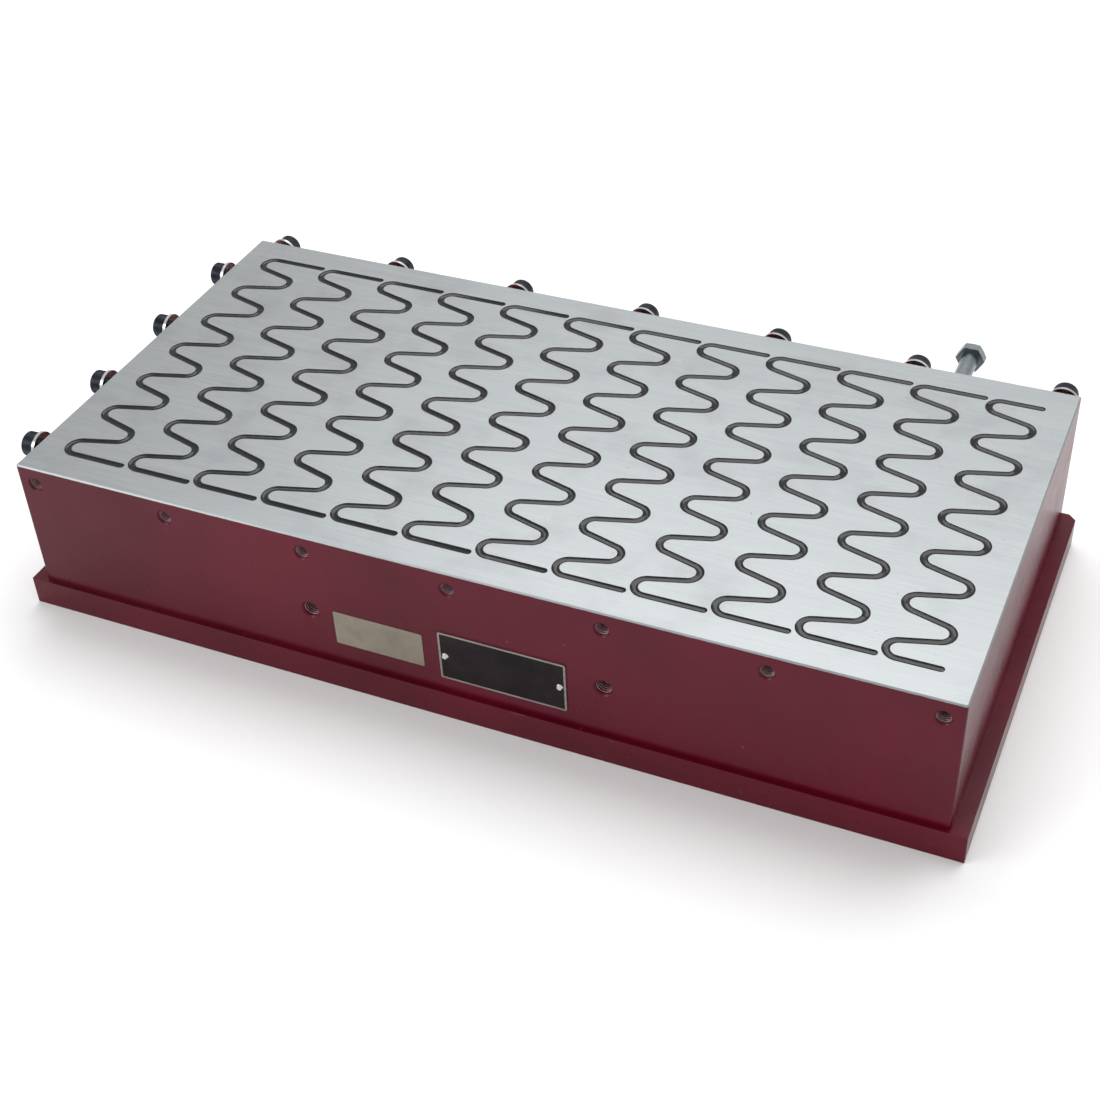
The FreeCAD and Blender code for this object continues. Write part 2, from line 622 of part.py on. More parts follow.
# ---- Plates on the front -----------------------------------------------------------
def front_plate(length, height, thick, corner, x, z, holes=()):
    """Thin plate against the front face, with round corners."""
    plate = rounded_block(length, height, corner, 0.0, thick)
    plate = placed(plate, Vector(x, FRONT, z), -Y_AXIS)
    for place, radius in holes:
        plate = plate.cut(rod(radius, thick, place, -Y_AXIS))
    return plate


def rivet_places():
    return [Vector(NAMEPLATE_X + side * (NAMEPLATE_LENGTH / 2 - RIVET_INSET), FRONT, NAMEPLATE_Z)
            for side in (-1, 1)]


def nameplate():
    holes = [(place, RIVET_SHANK / 2) for place in rivet_places()]
    return front_plate(NAMEPLATE_LENGTH, NAMEPLATE_HEIGHT, NAMEPLATE_THICK, NAMEPLATE_CORNER,
                       NAMEPLATE_X, NAMEPLATE_Z, holes)


def blank_label():
    return front_plate(LABEL_LENGTH, LABEL_HEIGHT, LABEL_THICK, LABEL_CORNER, LABEL_X, LABEL_Z)


def nameplate_rivets():
    """Hammer-drive rivets with low round heads."""
    rivets = []
    crown = NAMEPLATE_THICK + RIVET_HEAD_HEIGHT
    points = [(0.0, -RIVET_LENGTH), (RIVET_SHANK / 2, -RIVET_LENGTH),
              (RIVET_SHANK / 2, NAMEPLATE_THICK), (RIVET_HEAD / 2, NAMEPLATE_THICK),
              (RIVET_CROWN / 2, crown), (0.0, crown)]
    for place in rivet_places():
        rivets.append(turned(points, place, -Y_AXIS))
    return Part.Compound(rivets)


# ---- Screws, washers and the lifting bolt -------------------------------------------
def cap_screw(mouth, inward):
    """Socket head cap screw standing out of its hole by the rail gap and its washer."""
    seat = CAP_GAP + WASHER_THICK
    end = seat + CAP_HEAD_HEIGHT
    r = CAP_HEAD / 2
    points = [(0.0, -CAP_THREAD_REACH), (CAP_SHANK / 2, -CAP_THREAD_REACH),
              (CAP_SHANK / 2, seat), (r, seat), (r, end - CAP_HEAD_BEVEL),
              (r - CAP_HEAD_BEVEL, end), (0.0, end)]
    outward = inward * -1
    screw = turned(points, mouth, outward)
    socket_floor = mouth + outward * (end - CAP_SOCKET_DEPTH)
    return screw.cut(hexagon_prism(CAP_SOCKET, CAP_SOCKET_DEPTH, socket_floor, outward))


def washer(mouth, inward):
    near, far = CAP_GAP, CAP_GAP + WASHER_THICK
    points = [(WASHER_HOLE / 2, near), (WASHER_OUTER / 2, near), (WASHER_OUTER / 2, far),
              (WASHER_HOLE / 2, far)]
    return turned(points, mouth, inward * -1)


def lift_bolt():
    """Hexagon bolt with a long plain shank, screwed into the back of the frame."""
    mouth, inward = REAR_LIFT_HOLE
    outward = inward * -1
    thread = LIFT_THREAD / 2
    point = LIFT_THREAD_POINT
    under_head = LIFT_SHANK_LENGTH
    washer_face = under_head - LIFT_WASHER_FACE_HEIGHT
    points = [(0.0, -LIFT_THREAD_LENGTH), (thread - point, -LIFT_THREAD_LENGTH),
              (thread, point - LIFT_THREAD_LENGTH), (thread, LIFT_BOLT_GAP),
              (LIFT_SHANK / 2, LIFT_BOLT_GAP), (LIFT_SHANK / 2, washer_face),
              (LIFT_WASHER_FACE / 2, washer_face), (LIFT_WASHER_FACE / 2, under_head),
              (0.0, under_head)]
    shank = turned(points, mouth, outward)
    head = hexagon_prism(LIFT_HEAD, LIFT_HEAD_HEIGHT, mouth + outward * under_head, outward)
    return shank.fuse(head.common(head_crown(mouth + outward * under_head, outward)))


def head_crown(start, outward):
    """Turned envelope that bevels the outer corners of a hexagon head."""
    corner = LIFT_HEAD / math.sqrt(3)
    crown = LIFT_HEAD_CROWN / 2
    bevel = (corner - crown) * math.tan(math.radians(LIFT_HEAD_BEVEL_ANGLE))
    points = [(0.0, 0.0), (corner, 0.0), (corner, LIFT_HEAD_HEIGHT - bevel),
              (crown, LIFT_HEAD_HEIGHT), (0.0, LIFT_HEAD_HEIGHT)]
    return turned(points, start, outward)


# ---- Write one STEP file for each node -----------------------------------------------
def build_nodes():
    nodes = {
        "base_plate": base_plate(), "body_frame": body_frame(), "pole_plate": pole_plate(),
        "slot_fill": slot_fill(), "base_seal": base_seal(), "top_seal": top_seal(),
        "tie_screws": tie_screws(), "coil_formers": coil_formers(), "series_links": series_links(),
        "inlet_body": inlet_body(), "inlet_nut": inlet_nut(), "inlet_insert": inlet_insert(),
        "terminal_block": terminal_block(), "terminal_screws": terminal_screws(),
        "nameplate": nameplate(), "nameplate_rivets": nameplate_rivets(),
        "blank_label": blank_label(), "lift_bolt": lift_bolt(),
    }
    for k, x in enumerate(WOUND_BARS, 1):
        nodes["core_bar_%d" % k] = bar(x)
        nodes["coil_%d" % k] = coil(x)
    for k, x in enumerate(RETURN_BARS, 1):
        nodes["return_bar_%d" % k] = bar(x)
    for row, holes in (("rear", REAR_RAIL_HOLES), ("side", SIDE_RAIL_HOLES)):
        for k, (mouth, inward) in enumerate(holes, 1):
            nodes["%s_screw_%d" % (row, k)] = cap_screw(mouth, inward)
            nodes["%s_washer_%d" % (row, k)] = washer(mouth, inward)
    return nodes


os.makedirs("parts", exist_ok=True)
for name, shape in sorted(build_nodes().items()):
    shape.exportStep("parts/%s.step" % name)
    print("%-18s solids %2d  volume %10.1f mm3  valid %s"
          % (name, len(shape.Solids), shape.Volume, shape.isValid()))
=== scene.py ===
# %% [markdown]
# # A magnetic chuck
#
# The object is an electromagnetic chuck: a painted steel box with a ground steel
# holding face.  Twelve serpentine slots filled with resin part the poles of that
# face.  Stop-rail screws wait in two of its sides, and a lifting bolt stands out of
# its back.  The solids come from the CAD frame at their true size, so this lesson
# adds what a solid doesn't have: paint, grinding marks, resin, threads and wear.
#
# The first cell loads the frame.  Every length in Blender is in metres here.

# %% Load the frame
import bpy
import bmesh
import math
from mathutils import Matrix, Vector


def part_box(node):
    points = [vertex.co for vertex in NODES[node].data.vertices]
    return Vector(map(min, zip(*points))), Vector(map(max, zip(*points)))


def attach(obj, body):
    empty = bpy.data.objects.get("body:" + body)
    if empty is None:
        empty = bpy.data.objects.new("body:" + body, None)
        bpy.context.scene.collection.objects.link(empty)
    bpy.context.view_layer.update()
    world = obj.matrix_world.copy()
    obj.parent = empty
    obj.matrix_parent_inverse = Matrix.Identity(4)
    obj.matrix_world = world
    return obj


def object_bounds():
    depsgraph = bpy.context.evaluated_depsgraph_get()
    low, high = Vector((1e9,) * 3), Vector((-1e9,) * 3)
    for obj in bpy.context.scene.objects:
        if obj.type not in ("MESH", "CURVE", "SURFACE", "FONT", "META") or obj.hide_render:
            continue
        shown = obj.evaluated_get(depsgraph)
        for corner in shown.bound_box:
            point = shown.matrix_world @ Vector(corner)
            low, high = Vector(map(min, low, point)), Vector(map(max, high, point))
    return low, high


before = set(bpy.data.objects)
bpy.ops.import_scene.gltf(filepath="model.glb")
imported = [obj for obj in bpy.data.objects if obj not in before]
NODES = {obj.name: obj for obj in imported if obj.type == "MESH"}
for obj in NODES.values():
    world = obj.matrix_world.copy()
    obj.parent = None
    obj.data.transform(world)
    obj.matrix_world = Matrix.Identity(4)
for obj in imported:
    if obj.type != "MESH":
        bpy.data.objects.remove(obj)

MM = 0.001
cad_low, cad_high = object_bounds()
print("CAD box:", [round(v, 4) for v in cad_low], [round(v, 4) for v in cad_high])

# %% [markdown]
# ## Where things are
#
# Nothing is measured twice.  The body, its holding face and its rows of screws are
# all read from the boxes of the CAD nodes, so a chuck of another size would be
# dressed by the same script.

# %% Places from the frame
plate_low, plate_high = (Vector(p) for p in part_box("pole_plate"))
BASE_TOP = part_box("base_plate")[1][2]
TOP = plate_high.z
FRONT = plate_low.y
LENGTH = plate_high.x - plate_low.x
WIDTH = plate_high.y - plate_low.y
print("holding face: %.0f x %.0f mm, %.0f mm high" % (LENGTH / MM, WIDTH / MM, TOP / MM))

# %% [markdown]
# ## Helpers for materials
#
# Colours are written as the sRGB hex values that a paint chart or a screen shows.
# Shaders work in linear light, so one function turns them.  A second small function
# adds any node, sets its values and joins its inputs, which keeps the material cells
# short enough to read as recipes.

# %% Colour and node helpers
def linear(hex_colour):
    """sRGB hex to the linear RGBA that shaders use."""
    parts = [int(hex_colour[i:i + 2], 16) / 255 for i in (1, 3, 5)]
    return tuple(c / 12.92 if c <= 0.04045 else ((c + 0.055) / 1.055) ** 2.4 for c in parts) + (1.0,)


def add(tree, kind, settings=None, **inputs):
    """Add a node.  settings are its properties; an input is a value or another socket."""
    node = tree.nodes.new(kind)
    for name, value in (settings or {}).items():
        setattr(node, name, value)
    for name, value in inputs.items():
        key = int(name[1:]) if name[0] == "i" and name[1:].isdigit() else name.replace("_", " ")
        socket = node.inputs[key]
        if isinstance(value, bpy.types.NodeSocket):
            tree.links.new(value, socket)
        else:
            socket.default_value = value
    return node


def new_material(name, **shader_inputs):
    """A material with one Principled shader; returns it, its tree and its shader."""
    material = bpy.data.materials.new(name)
    material.use_nodes = True
    shader = material.node_tree.nodes["Principled BSDF"]
    for key, value in shader_inputs.items():
        shader.inputs[key.replace("_", " ")].default_value = value
    return material, material.node_tree, shader


def ramp(tree, factor, stops):
    """A colour ramp with (position, hex or grey) stops; returns its colour socket."""
    node = add(tree, "ShaderNodeValToRGB", i0=factor)
    elements = node.color_ramp.elements
    while len(elements) < len(stops):
        elements.new(0.5)
    for element, (position, colour) in zip(elements, stops):
        element.position = position
        element.color = linear(colour) if isinstance(colour, str) else (colour, colour, colour, 1.0)
    return node.outputs["Color"]


def maths(tree, operation, a, b=0.0, c=0.0):
    """One Math node on up to three values; returns its value socket."""
    return add(tree, "ShaderNodeMath", {"operation": operation}, i0=a, i1=b, i2=c).outputs[0]


def blend_colours(tree, factor, a, b):
    """Mix two colours; a hex string or a socket each."""
    node = add(tree, "ShaderNodeMix", {"data_type": "RGBA"})
    for socket, value in ((node.inputs[0], factor), (node.inputs[6], a), (node.inputs[7], b)):
        if isinstance(value, bpy.types.NodeSocket):
            tree.links.new(value, socket)
        else:
            socket.default_value = linear(value) if isinstance(value, str) else value
    return node.outputs[2]


def noise(tree, vector, size_mm, detail=4.0, roughness=0.55):
    """Noise whose grains are about size_mm across."""
    node = add(tree, "ShaderNodeTexNoise", Vector=vector, Scale=1.0 / (size_mm * MM), Detail=detail,
               Roughness=roughness)
    return node.outputs["Fac"]


def stretched(tree, vector, scale):
    """The coordinates, stretched along an axis, for a pattern with a direction."""
    return add(tree, "ShaderNodeMapping", Vector=vector, Scale=scale).outputs[0]


def object_place(tree):
    """Object coordinates: each point's place on the chuck, in metres."""
    return add(tree, "ShaderNodeTexCoord").outputs["Object"]


def axes_of(tree, vector):
    """The x, y and z of a place."""
    parts = add(tree, "ShaderNodeSeparateXYZ", Vector=vector)
    return parts.outputs[0], parts.outputs[1], parts.outputs[2]


def paint_node(name, material):
    """Give a CAD node's object one material."""
    node = NODES[name]
    if not node.material_slots:
        node.data.materials.append(material)
    for slot in node.material_slots:
        slot.material = material


print("helpers ready")

# %% [markdown]
# ## Machine enamel
#
# The box is sprayed with burgundy enamel over fettled steel.  A brush-on or sprayed
# alkyd enamel is a dielectric with an IOR near 1.5 and a smooth but never flat skin:
# a fine orange peel about 2 mm across, slow waves from the filler below it, and some
# dust nibs.  Handling rubs its edges and lays pale scuffs on the clamping ledges.
# A noise bump at those two real sizes gives the broken soft gloss.

# %% Burgundy enamel
ENAMEL_DARK = "#4c0317"
ENAMEL_LIGHT = "#5d0620"
ENAMEL_GLOSS = 0.22       # specular level: an old coat reflects less than a fresh one
LEDGE_BAND = 0.5 * MM     # scuffs reach this far above the clamping ledge


def enamel_colour(tree, place):
    """Burgundy, a little lighter in slow clouds where the coat is thin."""
    return ramp(tree, noise(tree, place, 90.0, 3.0), [(0.3, ENAMEL_DARK), (0.7, ENAMEL_LIGHT)])


def filler_waves(tree, place, **below):
    """The slow waves that filler leaves under the paint."""
    return add(tree, "ShaderNodeBump", Strength=0.25, Distance=1.2 * MM,
               Height=noise(tree, place, 38.0, 2.0), **below)


def burgundy_enamel():
    material, tree, shader = new_material("burgundy machine enamel")
    shader.inputs["IOR"].default_value = 1.5
    shader.inputs["Specular IOR Level"].default_value = ENAMEL_GLOSS
    place = object_place(tree)
    colour = enamel_colour(tree, place)
    dust = ramp(tree, noise(tree, place, 3.2, 2.0), [(0.73, 0.0), (0.78, 1.0)])
    colour = blend_colours(tree, maths(tree, "MULTIPLY", dust, 0.16), colour, "#b99aa0")
    scuff_place = stretched(tree, place, (0.25, 1.0, 1.0))
    scuff = ramp(tree, noise(tree, scuff_place, 7.0, 6.0, 0.7), [(0.66, 0.0), (0.72, 1.0)])
    height = axes_of(tree, place)[2]
    ledge = maths(tree, "LESS_THAN", height, BASE_TOP + LEDGE_BAND)
    worn = maths(tree, "MULTIPLY", scuff, maths(tree, "MULTIPLY_ADD", ledge, 0.3, 0.04))
    colour = blend_colours(tree, worn, colour, "#8d5660")
    tree.links.new(colour, shader.inputs["Base Color"])
    rough = maths(tree, "MULTIPLY_ADD", noise(tree, place, 25.0, 3.0), 0.2, 0.2)
    tree.links.new(rough, shader.inputs["Roughness"])
    peel = add(tree, "ShaderNodeBump", Strength=0.12, Distance=0.2 * MM,
               Height=noise(tree, place, 2.0, 2.0))
    waves = filler_waves(tree, place, Normal=peel.outputs[0])
    tree.links.new(waves.outputs[0], shader.inputs["Normal"])
    return material


enamel = burgundy_enamel()
for name in ("base_plate", "body_frame"):
    paint_node(name, enamel)
print("painted:", enamel.name)

# %% [markdown]
# ## Ground steel, painted on its sides
#
# The pole plate is mild steel.  Its top was surface ground, which leaves hair-fine
# marks along the table's travel and makes the steel reflect in long soft streaks.
# The box was sprayed with the plate screwed on, so the plate's sides carry the same
# enamel, and the last grinding pass bared its chamfer.  One material does both: a
# mask from each point's place, near the outline and below the chamfer, tells bare
# steel from paint.  The slots' walls lie inside the outline, so the mask bares them as well.

# %% Ground steel with painted sides
EDGE_CHAMFER = 0.8 * MM
SPRAY_DEPTH = 1.3 * MM    # how far paint reaches into the mouths of the tapped holes
RAGGED_EDGE = 0.7 * MM    # the paint's upper edge wanders by this much
PAINT_TOP = TOP - EDGE_CHAMFER + 0.2 * MM


def painted_mask(tree, place):
    """1 on the plate's sides below the chamfer, 0 on bare steel."""
    x, y, z = axes_of(tree, place)
    reach_x = maths(tree, "GREATER_THAN", maths(tree, "ABSOLUTE", x), LENGTH / 2 - SPRAY_DEPTH)
    reach_y = maths(tree, "GREATER_THAN", maths(tree, "ABSOLUTE", y), WIDTH / 2 - SPRAY_DEPTH)
    side = maths(tree, "MAXIMUM", reach_x, reach_y)
    ragged = maths(tree, "MULTIPLY", noise(tree, place, 5.0, 3.0), RAGGED_EDGE)
    below_edge = maths(tree, "LESS_THAN", maths(tree, "ADD", z, ragged), PAINT_TOP)
    return maths(tree, "MULTIPLY", side, below_edge)


def ground_steel_colour(tree, place, grinding):
    """Grey with fine marks, passes of the wheel, slow stains and dark specks."""
    passes = noise(tree, stretched(tree, place, (0.04, 1.0, 1.0)), 9.0, 3.0, 0.6)
    stains = noise(tree, place, 42.0, 4.0, 0.6)
    specks = ramp(tree, noise(tree, place, 2.6, 2.0), [(0.735, 0.0), (0.76, 1.0)])
    steel = ramp(tree, grinding, [(0.25, "#94989a"), (0.75, "#a9acac")])
    steel = blend_colours(tree, maths(tree, "MULTIPLY", passes, 0.5), steel, "#91969a")
    steel = blend_colours(tree, ramp(tree, stains, [(0.5, 0.0), (0.75, 0.35)]), steel, "#7f8183")
    return blend_colours(tree, maths(tree, "MULTIPLY", specks, 0.45), steel, "#5d5c5b")


def ground_steel_painted_sides():
    material, tree, shader = new_material("ground mild steel, sides in burgundy enamel")
    shader.inputs["Specular IOR Level"].default_value = ENAMEL_GLOSS
    place = object_place(tree)
    painted = painted_mask(tree, place)
    grinding = noise(tree, stretched(tree, place, (0.012, 1.0, 1.0)), 0.55, 3.0, 0.6)
    steel = ground_steel_colour(tree, place, grinding)
    colour = blend_colours(tree, painted, steel, enamel_colour(tree, place))
    tree.links.new(colour, shader.inputs["Base Color"])
    tree.links.new(maths(tree, "SUBTRACT", 1.0, painted), shader.inputs["Metallic"])
    steel_rough = maths(tree, "MULTIPLY_ADD", grinding, 0.16, 0.36)
    rough = add(tree, "ShaderNodeMix", {"data_type": "FLOAT"}, i0=painted, i2=steel_rough, i3=0.3)
    tree.links.new(rough.outputs[0], shader.inputs["Roughness"])
    marks = add(tree, "ShaderNodeBump", Strength=0.1, Distance=0.05 * MM, Height=grinding)
    waves = filler_waves(tree, place)
    normal = add(tree, "ShaderNodeMix", {"data_type": "VECTOR"}, i0=painted, i4=marks.outputs[0],
                 i5=waves.outputs[0])
    tree.links.new(normal.outputs[1], shader.inputs["Normal"])
    return material


ground_steel = ground_steel_painted_sides()
paint_node("pole_plate", ground_steel)
print("plate:", ground_steel.name)

# %% [markdown]
# ## Resin in the slots
#
# The slots were poured with black casting resin.  It wets the steel as it cures, so
# it stands higher along the walls and dips in the middle, and the dip catches the
# light as a paler strip between two dark edges.  A material alone can't bend the
# reflection that way, so a ribbon with a dished cross-section is laid on each slot.
#
# The slots follow a rule: equal bends joined by slanting straights.  The centre line
# of one slot is worked out from that rule as a curve, and a small mesh function
# sweeps the dished profile along all twelve.

# %% The serpentine's rule
fill_low, fill_high = (Vector(p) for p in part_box("slot_fill"))
SLOT_COUNT = 12
SLOT_SPAN = 36 * MM
SLOT_WIDTH = 4.7 * MM
BEND_RADIUS = 7.4 * MM
LOBE_COUNT = 7
SLOT_PITCH = (fill_high.x - fill_low.x - SLOT_SPAN) / (SLOT_COUNT - 1)
FIRST_LEFT = fill_low.x
LOBE_PITCH = (fill_high.y - fill_low.y - SLOT_WIDTH - 2 * BEND_RADIUS) / (LOBE_COUNT - 1)
ARC_STEPS = 9


def serpentine_points(tail):
    """Centre line of one slot whose left edge is at x = 0: tail, bends, tail."""
    left = SLOT_WIDTH / 2 + BEND_RADIUS
    right = SLOT_SPAN - left
    rise = LOBE_PITCH / 2
    slope = math.acos(2 * BEND_RADIUS / math.hypot(right - left, rise)) - math.atan2(right - left, rise)
    rows = [(k - (LOBE_COUNT - 1) / 2) * LOBE_PITCH for k in range(LOBE_COUNT)]
    quarter = math.pi / 2
    bends = []
    for k, y in enumerate(rows):
        start = 3 * quarter if k == 0 else 3 * quarter - slope
        stop = quarter if k == LOBE_COUNT - 1 else quarter + slope
        bends.append((left, y, start, stop))
        if k < LOBE_COUNT - 1:
            bends.append((right, y + rise, slope - quarter, quarter - slope))
    points = [(tail - SLOT_WIDTH / 2, rows[0] - BEND_RADIUS)]
    for centre_x, centre_y, start, stop in bends:
        for step in range(ARC_STEPS + 1):
            angle = start + (stop - start) * step / ARC_STEPS
            points.append((centre_x + BEND_RADIUS * math.cos(angle),
                           centre_y + BEND_RADIUS * math.sin(angle)))
    points.append((tail - SLOT_WIDTH / 2, rows[-1] + BEND_RADIUS))
    return points


print("slot pitch %.1f mm, bend pitch %.1f mm" % (SLOT_PITCH / MM, LOBE_PITCH / MM))

# %% [markdown]
# A ribbon swept from a flat profile needs each point of its centre line, a sideways
# direction there, and a height across the width.  A small mesh function lays those
# rows down directly, which keeps the ribbon's faces even round the bends.  The corners
# of each face are named anticlockwise as seen from above, so that every face looks up.

# %% Dished resin ribbons
DISH = 0.25 * MM          # sag of the middle, made up above the solid fill
RISE_ON_WALL = 0.3 * MM   # the resin climbs the steel by this much
RESIN_SKIN = 0.03 * MM    # keeps the ribbon just clear of the solid below
WALL_GAP = 0.02 * MM      # and this one clear of the slot's walls
TIP_RISE = 0.6 * RISE_ON_WALL
RIBBON_STEPS = 8


def ribbon_rows(points, half_width):
    """For each centre point, a row of (x, y, height) across the slot."""
    rows = []
    for k, (x, y) in enumerate(points):
        before = Vector(points[max(k - 1, 0)])
        after = Vector(points[min(k + 1, len(points) - 1)])
        along = (after - before).normalized()
        side = Vector((-along.y, along.x))
        row = []
        for j in range(RIBBON_STEPS + 1):
            t = 2 * j / RIBBON_STEPS - 1
            height = RISE_ON_WALL * abs(t) ** 3 + DISH * t * t
            row.append((x + side.x * t * half_width, y + side.y * t * half_width, height))
        rows.append(row)
    return rows


def resin_ribbons():
    mesh = bpy.data.meshes.new("slot_resin")
    b = bmesh.new()
    half = SLOT_WIDTH / 2 - WALL_GAP
    for k in range(SLOT_COUNT):
        tail = SLOT_PITCH if k < SLOT_COUNT - 1 else SLOT_SPAN
        left = FIRST_LEFT + k * SLOT_PITCH
        rows = ribbon_rows(serpentine_points(tail), half)
        level = fill_high.z + RESIN_SKIN
        verts = [[b.verts.new((left + x, y, level + h)) for x, y, h in row] for row in rows]
        for first, second in zip(verts, verts[1:]):
            for j in range(RIBBON_STEPS):
                b.faces.new((first[j], second[j], second[j + 1], first[j + 1]))
        for row in (verts[0], verts[-1][::-1]):
            middle = sum((v.co for v in row), Vector()) / len(row)
            tip = b.verts.new(middle + Vector((half, 0, TIP_RISE)))
            for corner, next_corner in zip(row, row[1:]):
                b.faces.new((corner, next_corner, tip))
    for face in b.faces:
        face.smooth = True
    b.to_mesh(mesh)
    b.free()
    piece = bpy.data.objects.new("slot_resin", mesh)
    bpy.context.collection.objects.link(piece)
    print("resin ribbons:", len(mesh.polygons), "faces,", sum(p.normal.z > 0 for p in mesh.polygons), "up")
    return piece


# %% [markdown]
# Cast black epoxy is glossy where it set against air, but its surface gathers
# grinding dust and coolant stain.  It is nearly black with a blue cast, a little
# browner where old coolant dried.

# %% Black casting resin
def black_casting_resin():
    material, tree, shader = new_material("black casting epoxy")
    shader.inputs["Specular IOR Level"].default_value = 0.35
    place = object_place(tree)
    tint = noise(tree, place, 14.0, 4.0)
    colour = ramp(tree, tint, [(0.4, "#040508"), (0.6, "#0a0c10"), (0.75, "#241c12")])
    dust = ramp(tree, noise(tree, place, 1.6, 3.0), [(0.66, 0.0), (0.74, 1.0)])
    colour = blend_colours(tree, maths(tree, "MULTIPLY", dust, 0.2), colour, "#6d6f70")
    tree.links.new(colour, shader.inputs["Base Color"])
    rough = maths(tree, "MULTIPLY_ADD", noise(tree, place, 6.0, 3.0), 0.2, 0.06)
    tree.links.new(rough, shader.inputs["Roughness"])
    bump = add(tree, "ShaderNodeBump", Strength=0.35, Distance=0.25 * MM,
               Height=noise(tree, place, 3.5, 3.0))
    tree.links.new(bump.outputs[0], shader.inputs["Normal"])
    return material


resin = black_casting_resin()
paint_node("slot_fill", resin)
slot_resin = resin_ribbons()
slot_resin.data.materials.append(resin)
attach(slot_resin, "root")

# %% [markdown]
# ## Fastener finishes
#
# The cap screws are alloy steel with a black oxide skin, which is thin enough that
# the metal under it still gives a dark, slightly blue sheen.  The washers and the
# lifting bolt are zinc plated: pale, a touch blue, with the faint milkiness that
# zinc gets in a shop.  Washers are stamped, so their faces are duller than their
# rolled edges.

# %% Black oxide and zinc
def black_oxide_steel():
    material, tree, shader = new_material("black oxide alloy steel", Metallic=1.0)
    place = object_place(tree)
    colour = ramp(tree, noise(tree, place, 6.0, 4.0), [(0.3, "#23252b"), (0.7, "#373a43")])
    tree.links.new(colour, shader.inputs["Base Color"])
    rough = maths(tree, "MULTIPLY_ADD", noise(tree, place, 2.0, 3.0), 0.2, 0.24)
    tree.links.new(rough, shader.inputs["Roughness"])
    bump = add(tree, "ShaderNodeBump", Strength=0.1, Distance=0.1 * MM, Height=noise(tree, place, 0.8, 2.0))
    tree.links.new(bump.outputs[0], shader.inputs["Normal"])
    return material


def zinc_plated_steel(name, light, dark, least_rough):
    material, tree, shader = new_material(name, Metallic=1.0)
    place = object_place(tree)
    colour = ramp(tree, noise(tree, place, 9.0, 5.0), [(0.3, dark), (0.7, light)])
    tree.links.new(colour, shader.inputs["Base Color"])
    rough = maths(tree, "MULTIPLY_ADD", noise(tree, place, 3.0, 3.0), 0.18, least_rough)
    tree.links.new(rough, shader.inputs["Roughness"])
    bump = add(tree, "ShaderNodeBump", Strength=0.08, Distance=0.1 * MM, Height=noise(tree, place, 1.2, 2.0))
    tree.links.new(bump.outputs[0], shader.inputs["Normal"])
    return material


black_oxide = black_oxide_steel()
bolt_zinc = zinc_plated_steel("zinc plated bolt steel", "#8d9598", "#6f777b", 0.24)
washer_zinc = zinc_plated_steel("zinc plated stamped washer", "#e2e4e6", "#b3b0a8", 0.14)
screw_nodes = [n for n in NODES if "_screw_" in n]
washer_nodes = [n for n in NODES if "_washer_" in n]
for name in screw_nodes + ["tie_screws"]:
    paint_node(name, black_oxide)
for name in washer_nodes + ["terminal_screws"]:
    paint_node(name, washer_zinc)
paint_node("lift_bolt", bolt_zinc)
print("cap screws:", len(screw_nodes), " washers:", len(washer_nodes))

# %% [markdown]
# Cap screw heads are knurled along their sides, so that fingers can spin them.  The
# CAD head is a plain cylinder.  A knurl is a rule of its own: one ridge, repeated
# evenly round an axis.  Geometry Nodes stand a thin bar at every point of a circle,
# turned to face outwards, and the ring of bars hugs the head.
#
# Every tree in this lesson opens with named inputs and closes by making its instances
# real and giving them their finish, so two helpers hold those two ends.

# %% Tree helpers
def open_tree(name, inputs):
    """A Geometry Nodes tree with named inputs; returns it and their sockets."""
    tree = bpy.data.node_groups.new(name, "GeometryNodeTree")
    tree.interface.new_socket("Geometry", in_out="OUTPUT", socket_type="NodeSocketGeometry")
    for title, kind in inputs:
        tree.interface.new_socket(title, in_out="INPUT", socket_type="NodeSocket" + kind)
    return tree, tree.nodes.new("NodeGroupInput").outputs


def close_tree(tree, geometry, finish):
    """Turn instances into real faces, give them their finish and hand them out."""
    plain = add(tree, "GeometryNodeRealizeInstances", Geometry=geometry)
    finished = add(tree, "GeometryNodeSetMaterial", Geometry=plain.outputs[0], Material=finish)
    out = tree.nodes.new("NodeGroupOutput")
    tree.links.new(finished.outputs[0], out.inputs[0])


print("tree helpers ready")

# %% [markdown]
# The knurl's tree needs the circle's radius, the bars' length and thickness, and how
# many of them there are.  Each bar is a square one, turned on its edge so that only
# a sharp ridge stands out of the head.

